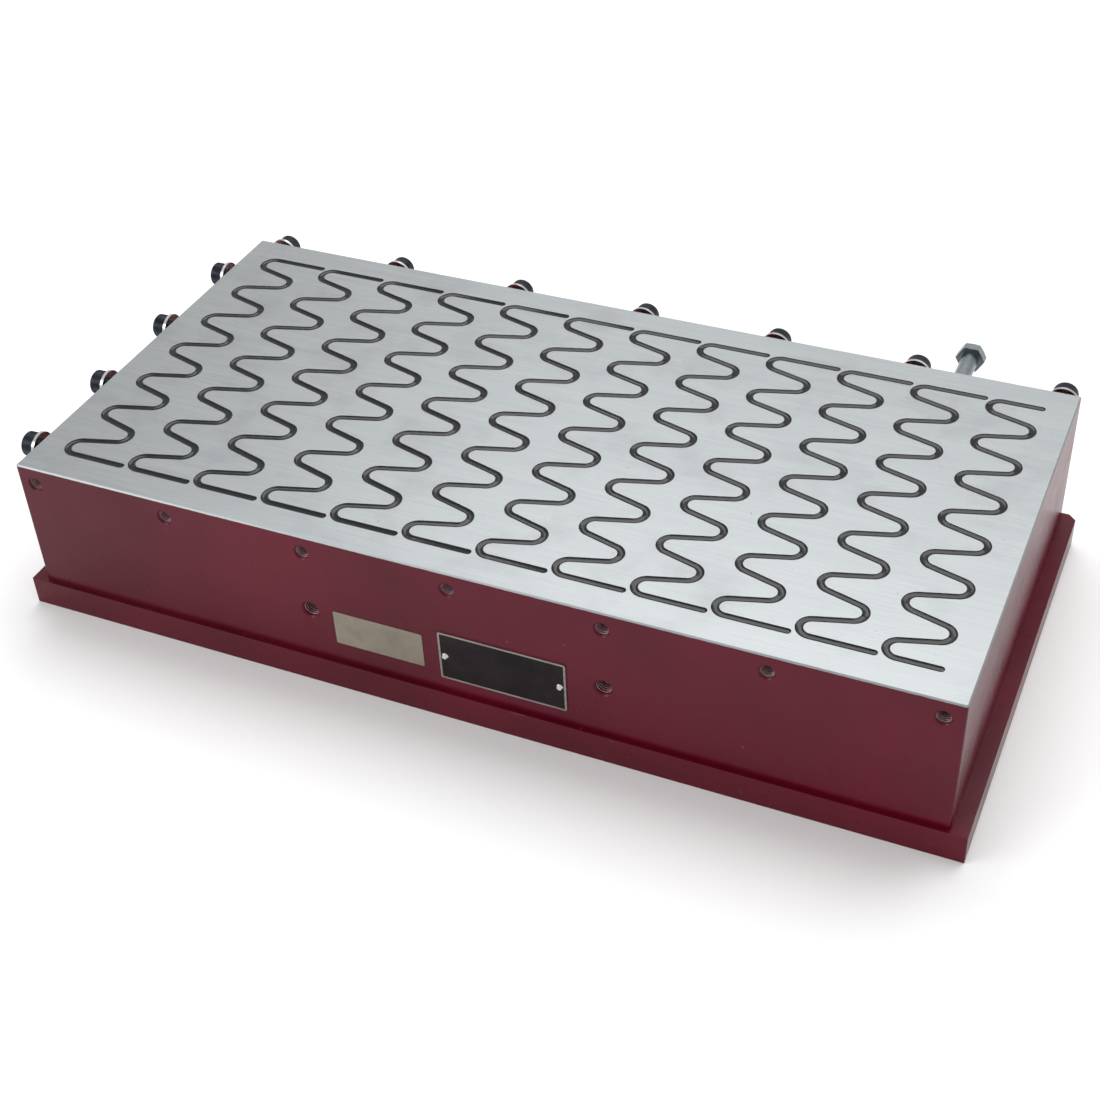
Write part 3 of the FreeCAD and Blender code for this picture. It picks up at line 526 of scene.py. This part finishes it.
# %% Knurl tree
def knurl_tree():
    tree, given = open_tree("knurled head", (("Radius", "Float"), ("Length", "Float"), ("Ridge", "Float"),
                                             ("Count", "Int"), ("Finish", "Material")))
    ring = add(tree, "GeometryNodeMeshCircle", {"fill_type": "NONE"}, Vertices=given["Count"],
               Radius=given["Radius"])
    size = add(tree, "ShaderNodeCombineXYZ", i0=given["Ridge"], i1=given["Ridge"], i2=given["Length"])
    bar = add(tree, "GeometryNodeMeshCube", Size=size.outputs[0])
    lift = add(tree, "ShaderNodeMath", {"operation": "DIVIDE"}, i0=given["Length"], i1=2.0)
    offset = add(tree, "ShaderNodeCombineXYZ", i2=lift.outputs[0])
    raised = add(tree, "GeometryNodeTransform", i0=bar.outputs[0], Translation=offset.outputs[0])
    from_axis = add(tree, "GeometryNodeInputPosition")
    outward = add(tree, "FunctionNodeAlignRotationToVector", {"axis": "X", "pivot_axis": "Z"},
                  Vector=from_axis.outputs[0])
    on_edge = add(tree, "FunctionNodeRotateRotation", {"rotation_space": "LOCAL"},
                  i0=outward.outputs[0], i1=(0.0, 0.0, math.radians(45)))
    bars = add(tree, "GeometryNodeInstanceOnPoints", Points=ring.outputs[0], Instance=raised.outputs[0],
               Rotation=on_edge.outputs[0])
    close_tree(tree, bars.outputs[0], given["Finish"])
    return tree


knurl = knurl_tree()
print("knurl inputs:", [s.name for s in knurl.interface.items_tree if s.in_out == "INPUT"])

# %% [markdown]
# ## Inner pieces and small trim
#
# Nothing of the magnet shows while the box is closed, but each node still gets the
# finish of its real material, so that an opened view is right too.

# %% Inner pieces and trim
def plain_finish(name, dark, light, grain_mm, metallic, rough):
    material, tree, shader = new_material(name, Metallic=metallic)
    place = object_place(tree)
    grain = noise(tree, place, grain_mm, 4.0)
    tree.links.new(ramp(tree, grain, [(0.3, dark), (0.7, light)]), shader.inputs["Base Color"])
    value = maths(tree, "MULTIPLY_ADD", grain, 0.15, rough)
    tree.links.new(value, shader.inputs["Roughness"])
    bump = add(tree, "ShaderNodeBump", Strength=0.12, Distance=0.1 * MM, Height=grain)
    tree.links.new(bump.outputs[0], shader.inputs["Normal"])
    return material


magnet_iron = plain_finish("mill finish magnet iron", "#5e6062", "#84878a", 3.0, 1.0, 0.4)
enamelled_copper = plain_finish("enamelled copper winding", "#6b2a16", "#9c4a28", 0.9, 0.8, 0.3)
phenolic = plain_finish("moulded phenolic", "#3a2416", "#54351f", 2.0, 0.0, 0.45)
nitrile = plain_finish("nitrile rubber", "#141414", "#232323", 1.5, 0.0, 0.6)
nickel_brass = plain_finish("nickel plated brass", "#a9a69a", "#c9c6ba", 5.0, 1.0, 0.2)
finishes = {"base_seal": nitrile, "top_seal": nitrile, "inlet_insert": nitrile,
            "coil_formers": phenolic, "terminal_block": phenolic, "series_links": enamelled_copper,
            "inlet_body": nickel_brass, "inlet_nut": nickel_brass}
for name in NODES:
    if "_bar_" in name:
        finishes[name] = magnet_iron
    elif name.startswith("coil_") and name != "coil_formers":
        finishes[name] = enamelled_copper
for name, material in finishes.items():
    paint_node(name, material)
print("finished inner pieces:", len(finishes))

# %% [markdown]
# ## The two plates on the front
#
# The left one is a bare beige label of foil.  The right one is a black anodised
# aluminium nameplate whose rim was left bright, held by two drive rivets.  Both stay
# blank.  The rim is a mask on the plate's own outline, 1.3 mm wide.

# %% Label and nameplate
NAMEPLATE_RIM = 1.3 * MM


def blank_foil():
    material, tree, shader = new_material("beige foil label", Metallic=0.35, Roughness=0.42)
    place = object_place(tree)
    colour = ramp(tree, noise(tree, place, 16.0, 4.0), [(0.3, "#7d7468"), (0.7, "#918878")])
    specks = ramp(tree, noise(tree, place, 2.2, 2.0), [(0.68, 0.0), (0.74, 1.0)])
    colour = blend_colours(tree, maths(tree, "MULTIPLY", specks, 0.35), colour, "#5c4c45")
    tree.links.new(colour, shader.inputs["Base Color"])
    bump = add(tree, "ShaderNodeBump", Strength=0.25, Distance=0.2 * MM, Height=noise(tree, place, 9.0, 3.0))
    tree.links.new(bump.outputs[0], shader.inputs["Normal"])
    return material


def bordered_nameplate(node):
    low, high = (Vector(p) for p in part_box(node))
    centre, half = (low + high) / 2, (high - low) / 2
    material, tree, shader = new_material("black anodised aluminium, bright rim", Metallic=0.9)
    place = object_place(tree)
    x, _, z = axes_of(tree, place)
    from_x = maths(tree, "ABSOLUTE", maths(tree, "SUBTRACT", x, centre.x))
    from_z = maths(tree, "ABSOLUTE", maths(tree, "SUBTRACT", z, centre.z))
    rim = maths(tree, "MAXIMUM", maths(tree, "GREATER_THAN", from_x, half.x - NAMEPLATE_RIM),
                maths(tree, "GREATER_THAN", from_z, half.z - NAMEPLATE_RIM))
    black = ramp(tree, noise(tree, place, 20.0, 4.0), [(0.3, "#1c181a"), (0.7, "#2b2426")])
    brushed = noise(tree, stretched(tree, place, (0.05, 1, 1)), 0.6)
    silver = ramp(tree, brushed, [(0.3, "#7d7876"), (0.7, "#a39c99")])
    tree.links.new(blend_colours(tree, rim, black, silver), shader.inputs["Base Color"])
    rough = maths(tree, "MULTIPLY_ADD", noise(tree, place, 4.0), 0.12, 0.3)
    tree.links.new(rough, shader.inputs["Roughness"])
    return material


label_foil = blank_foil()
plate_finish = bordered_nameplate("nameplate")
paint_node("blank_label", label_foil)
paint_node("nameplate", plate_finish)
rivet_metal = zinc_plated_steel("bright drive rivet", "#e6e2da", "#c9c4ba", 0.12)
paint_node("nameplate_rivets", rivet_metal)
print("plates finished")

# %% [markdown]
# ## Threads
#
# The CAD keeps every thread plain.  On the real object two kinds of thread show: the
# dark helix on each cap screw, between the box and its washer, and the ridges down
# each empty tapped hole.  A thread follows a rule, so both come from one Geometry
# Nodes tree: a helix curve, swept with a V-shaped profile.  Each input has a name,
# so the same tree makes an M10 thread outside a shank and an M12 one inside a hole.

# %% Thread tree
def thread_tree():
    tree, given = open_tree("helical thread", (("Radius", "Float"), ("Pitch", "Float"), ("Length", "Float"),
                                               ("Ridge", "Float"), ("Steps per turn", "Int"),
                                               ("Finish", "Material")))
    turns = add(tree, "ShaderNodeMath", {"operation": "DIVIDE"}, i0=given["Length"], i1=given["Pitch"])
    helix = add(tree, "GeometryNodeCurveSpiral", Resolution=given["Steps per turn"],
                Rotations=turns.outputs[0], Start_Radius=given["Radius"], End_Radius=given["Radius"],
                Height=given["Length"])
    profile = add(tree, "GeometryNodeCurvePrimitiveCircle", {"mode": "RADIUS"}, Resolution=4,
                  Radius=given["Ridge"])
    sweep = add(tree, "GeometryNodeCurveToMesh", Curve=helix.outputs[0], Profile_Curve=profile.outputs[0],
                Fill_Caps=True)
    close_tree(tree, sweep.outputs[0], given["Finish"])
    return tree


def grown(tree, values, name):
    """Run a Geometry Nodes tree with these inputs and keep its result as a mesh."""
    carrier = bpy.data.objects.new(name + "_carrier", bpy.data.meshes.new(name))
    bpy.context.collection.objects.link(carrier)
    modifier = carrier.modifiers.new("shape", "NODES")
    modifier.node_group = tree
    identifiers = {s.name: s.identifier for s in tree.interface.items_tree if s.in_out == "INPUT"}
    for key, value in values.items():
        modifier[identifiers[key]] = value
    ready = carrier.evaluated_get(bpy.context.evaluated_depsgraph_get())
    mesh = bpy.data.meshes.new_from_object(ready)
    mesh.name = name
    bpy.data.objects.remove(carrier)
    return mesh


threads = thread_tree()
print("thread inputs:", [s.name for s in threads.interface.items_tree if s.in_out == "INPUT"])

# %% [markdown]
# A thread mesh grows up the Z axis from the origin.  It is turned so that Z follows
# the screw, moved to its place, and the mesh itself is changed, so the object stays
# at the origin as the CAD nodes do.

# %% Placing a grown mesh
def placed_piece(meshes, name, body):
    """Join (mesh, start, direction) copies into one object that rides on a body."""
    b = bmesh.new()
    for mesh, start, direction in meshes:
        copy = mesh.copy()
        turn = Vector((0, 0, 1)).rotation_difference(Vector(direction)).to_matrix().to_4x4()
        copy.transform(Matrix.Translation(start) @ turn)
        b.from_mesh(copy)
        bpy.data.meshes.remove(copy)
    result = bpy.data.meshes.new(name)
    b.to_mesh(result)
    b.free()
    for material in meshes[0][0].materials:
        result.materials.append(material)
    piece = bpy.data.objects.new(name, result)
    bpy.context.collection.objects.link(piece)
    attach(piece, body)


print("placing helper ready")

# %% [markdown]
# The cap screws are M10 with a pitch of 1.5 mm.  Their helix fills the gap between
# the box and the washer, and the knurl wraps the head past the washer.  Both ride on
# their own screw, so they follow it when it is screwed in or out.

# %% Cap screw threads and knurls
SCREW_PITCH = 1.5 * MM
CAP_SHANK = 8.34 * MM
CAP_GAP = 8.0 * MM        # from the box to the washer
RIDGE = 0.42 * MM
RIDGE_SINK = 0.06 * MM    # the ridge's middle lies this deep in the shank
THREAD_CLEAR = 0.25 * MM  # from the helix's ends to the box and the washer
STEPS_PER_TURN = 20
cap_thread = grown(threads, {"Radius": CAP_SHANK / 2 - RIDGE_SINK, "Pitch": SCREW_PITCH,
                             "Length": CAP_GAP - 2 * THREAD_CLEAR, "Ridge": RIDGE,
                             "Steps per turn": STEPS_PER_TURN, "Finish": black_oxide}, "cap_thread")

WASHER_THICK = 2.0 * MM
HEAD_RADIUS = 8.0 * MM
HEAD_LENGTH = 10.0 * MM
KNURL_MARGIN = 0.9 * MM   # plain band at each end of the head
KNURL_RIDGE = 0.62 * MM
KNURL_SINK = 0.26 * MM    # the bars' middles lie this deep in the head
KNURL_COUNT = 52
head_knurl = grown(knurl, {"Radius": HEAD_RADIUS - KNURL_SINK, "Length": HEAD_LENGTH - 2 * KNURL_MARGIN,
                           "Ridge": KNURL_RIDGE, "Count": KNURL_COUNT, "Finish": black_oxide},
                   "head_knurl")
for name in screw_nodes:
    low, high = (Vector(p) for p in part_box(name))
    middle = (low + high) / 2
    if name.startswith("rear"):
        start, outward = Vector((middle.x, WIDTH / 2 + THREAD_CLEAR, middle.z)), Vector((0, 1, 0))
    else:
        start, outward = Vector((-LENGTH / 2 - THREAD_CLEAR, middle.y, middle.z)), Vector((-1, 0, 0))
    head_start = start + outward * (CAP_GAP + WASHER_THICK + KNURL_MARGIN - THREAD_CLEAR)
    placed_piece([(cap_thread, start, outward), (head_knurl, head_start, outward)],
                 name + "_thread", name)
print("threads on %d screws, %d faces each" % (len(screw_nodes), len(cap_thread.polygons)))

# %% [markdown]
# The empty holes were tapped before painting, and spray reached only their first
# turns.  Their ridges are coloured a pale pink: the pink is that overspray, and the
# paleness is painted highlight for the light that the ridges catch in the dark hole.
# Their places follow the rows of the CAD: the upper row stands opposite the back
# screws, and the two lower holes stand under its third and fifth hole.

# %% Threads in the empty holes
# Painted highlight: the thread ridges get a pale pink, lighter than the enamel, for the light they catch; the
# pink tint itself is overspray.
tapped_metal_painted_highlight = plain_finish("tapped steel with overspray, pale as painted highlight", "#8a5965", "#c4a3ab", 1.5, 0.6, 0.3)
RAIL_HOLE_RADIUS = 4.25 * MM
RAIL_THREAD_LENGTH = 12 * MM
RAIL_THREAD_DEPTH = 1.3 * MM   # from the front face to the first ridge
LIFT_HOLE_RADIUS = 5.1 * MM
LIFT_PITCH = 1.75 * MM
LIFT_RIDGE = 0.5 * MM
LIFT_THREAD_LENGTH = 13 * MM
LIFT_THREAD_DEPTH = 1.5 * MM
LIFT_UNDER = (2, -3)           # below the third rail hole from each end
rear_places = sorted((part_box(n)[0][0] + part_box(n)[1][0]) / 2 for n in screw_nodes if n.startswith("rear"))
rail_height = (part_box("rear_screw_1")[0][2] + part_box("rear_screw_1")[1][2]) / 2
bolt_low, bolt_high = (Vector(p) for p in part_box("lift_bolt"))
lift_height = (bolt_low.z + bolt_high.z) / 2
rail_thread = grown(threads, {"Radius": RAIL_HOLE_RADIUS, "Pitch": SCREW_PITCH,
                              "Length": RAIL_THREAD_LENGTH, "Ridge": RIDGE,
                              "Steps per turn": STEPS_PER_TURN, "Finish": tapped_metal_painted_highlight}, "rail_thread")
lift_thread = grown(threads, {"Radius": LIFT_HOLE_RADIUS, "Pitch": LIFT_PITCH,
                              "Length": LIFT_THREAD_LENGTH, "Ridge": LIFT_RIDGE,
                              "Steps per turn": STEPS_PER_TURN, "Finish": tapped_metal_painted_highlight}, "lift_thread")
inwards = Vector((0, 1, 0))
hole_threads = [(rail_thread, Vector((x, FRONT + RAIL_THREAD_DEPTH, rail_height)), inwards)
                for x in rear_places]
hole_threads += [(lift_thread, Vector((rear_places[k], FRONT + LIFT_THREAD_DEPTH, lift_height)), inwards)
                 for k in LIFT_UNDER]
placed_piece(hole_threads, "tapped_hole_threads", "root")
print("tapped holes dressed:", len(hole_threads))

# %% [markdown]
# ## Floor, light and camera
#
# The chuck stands on a plain white floor in soft studio light.  One large area light
# overhead makes the ground face glow, a second fills the front from the left, and a
# pale world keeps the shadows open.

# %% Floor
FLOOR_HALF = 6.0          # metres from the middle to each edge
FLOOR_GAP = 0.2 * MM      # keeps the floor off the base's underside


def studio_floor():
    mesh = bpy.data.meshes.new("floor")
    level = cad_low[2] - FLOOR_GAP
    corners = [(-FLOOR_HALF, -FLOOR_HALF, level), (FLOOR_HALF, -FLOOR_HALF, level),
               (FLOOR_HALF, FLOOR_HALF, level), (-FLOOR_HALF, FLOOR_HALF, level)]
    mesh.from_pydata(corners, [], [(0, 1, 2, 3)])
    floor = bpy.data.objects.new("floor", mesh)
    bpy.context.collection.objects.link(floor)
    material, tree, shader = new_material("matt white floor", Roughness=0.7)
    shader.inputs["Base Color"].default_value = linear("#f2f2f2")
    mesh.materials.append(material)


studio_floor()
print("floor laid")

# %% Light
def area_light(name, place, target, size, power):
    data = bpy.data.lights.new(name, "AREA")
    data.shape = "RECTANGLE"
    data.size, data.size_y = size
    data.energy = power
    lamp = bpy.data.objects.new(name, data)
    bpy.context.collection.objects.link(lamp)
    lamp.location = place
    lamp.rotation_euler = (Vector(target) - Vector(place)).to_track_quat("-Z", "Y").to_euler()


area_light("overhead", (0.1, 0.9, 2.0), (0, 0, 0.1), (2.4, 1.6), 38)
area_light("front_fill", (-1.6, -1.6, 1.3), (0, 0, 0.06), (1.4, 1.0), 16)
world = bpy.data.worlds.new("studio")
bpy.context.scene.world = world
world.use_nodes = True
sky = world.node_tree.nodes["Background"]
sky.inputs["Color"].default_value = (1, 1, 1, 1)
sky.inputs["Strength"].default_value = 0.75
bpy.context.scene.view_settings.view_transform = "Standard"
print("lights set")

# %% [markdown]
# The camera stands about a metre off, three quarters of a metre up, in front and to
# the right of the middle.  It looks down along the chuck, so that the face, the front
# and the rows of screws are all seen.

# %% Camera
LENS = 58.35
CAMERA_PLACE = Vector((0.3933, -0.8275, 0.7591))
CAMERA_FORWARD = Vector((-0.33685, 0.70004, -0.62966))
CAMERA_UP = Vector((-0.22280, 0.59049, 0.77568))


def studio_camera():
    data = bpy.data.cameras.new("camera")
    data.sensor_width = 36.0
    data.lens = LENS
    data.clip_start = 0.05
    camera = bpy.data.objects.new("camera", data)
    bpy.context.collection.objects.link(camera)
    forward = CAMERA_FORWARD.normalized()
    right = forward.cross(CAMERA_UP.normalized()).normalized()
    up = right.cross(forward)
    turn = Matrix((right, up, -forward)).transposed().to_4x4()
    camera.matrix_world = Matrix.Translation(CAMERA_PLACE) @ turn
    bpy.context.scene.camera = camera


studio_camera()
print("camera placed, lens %.1f mm" % LENS)
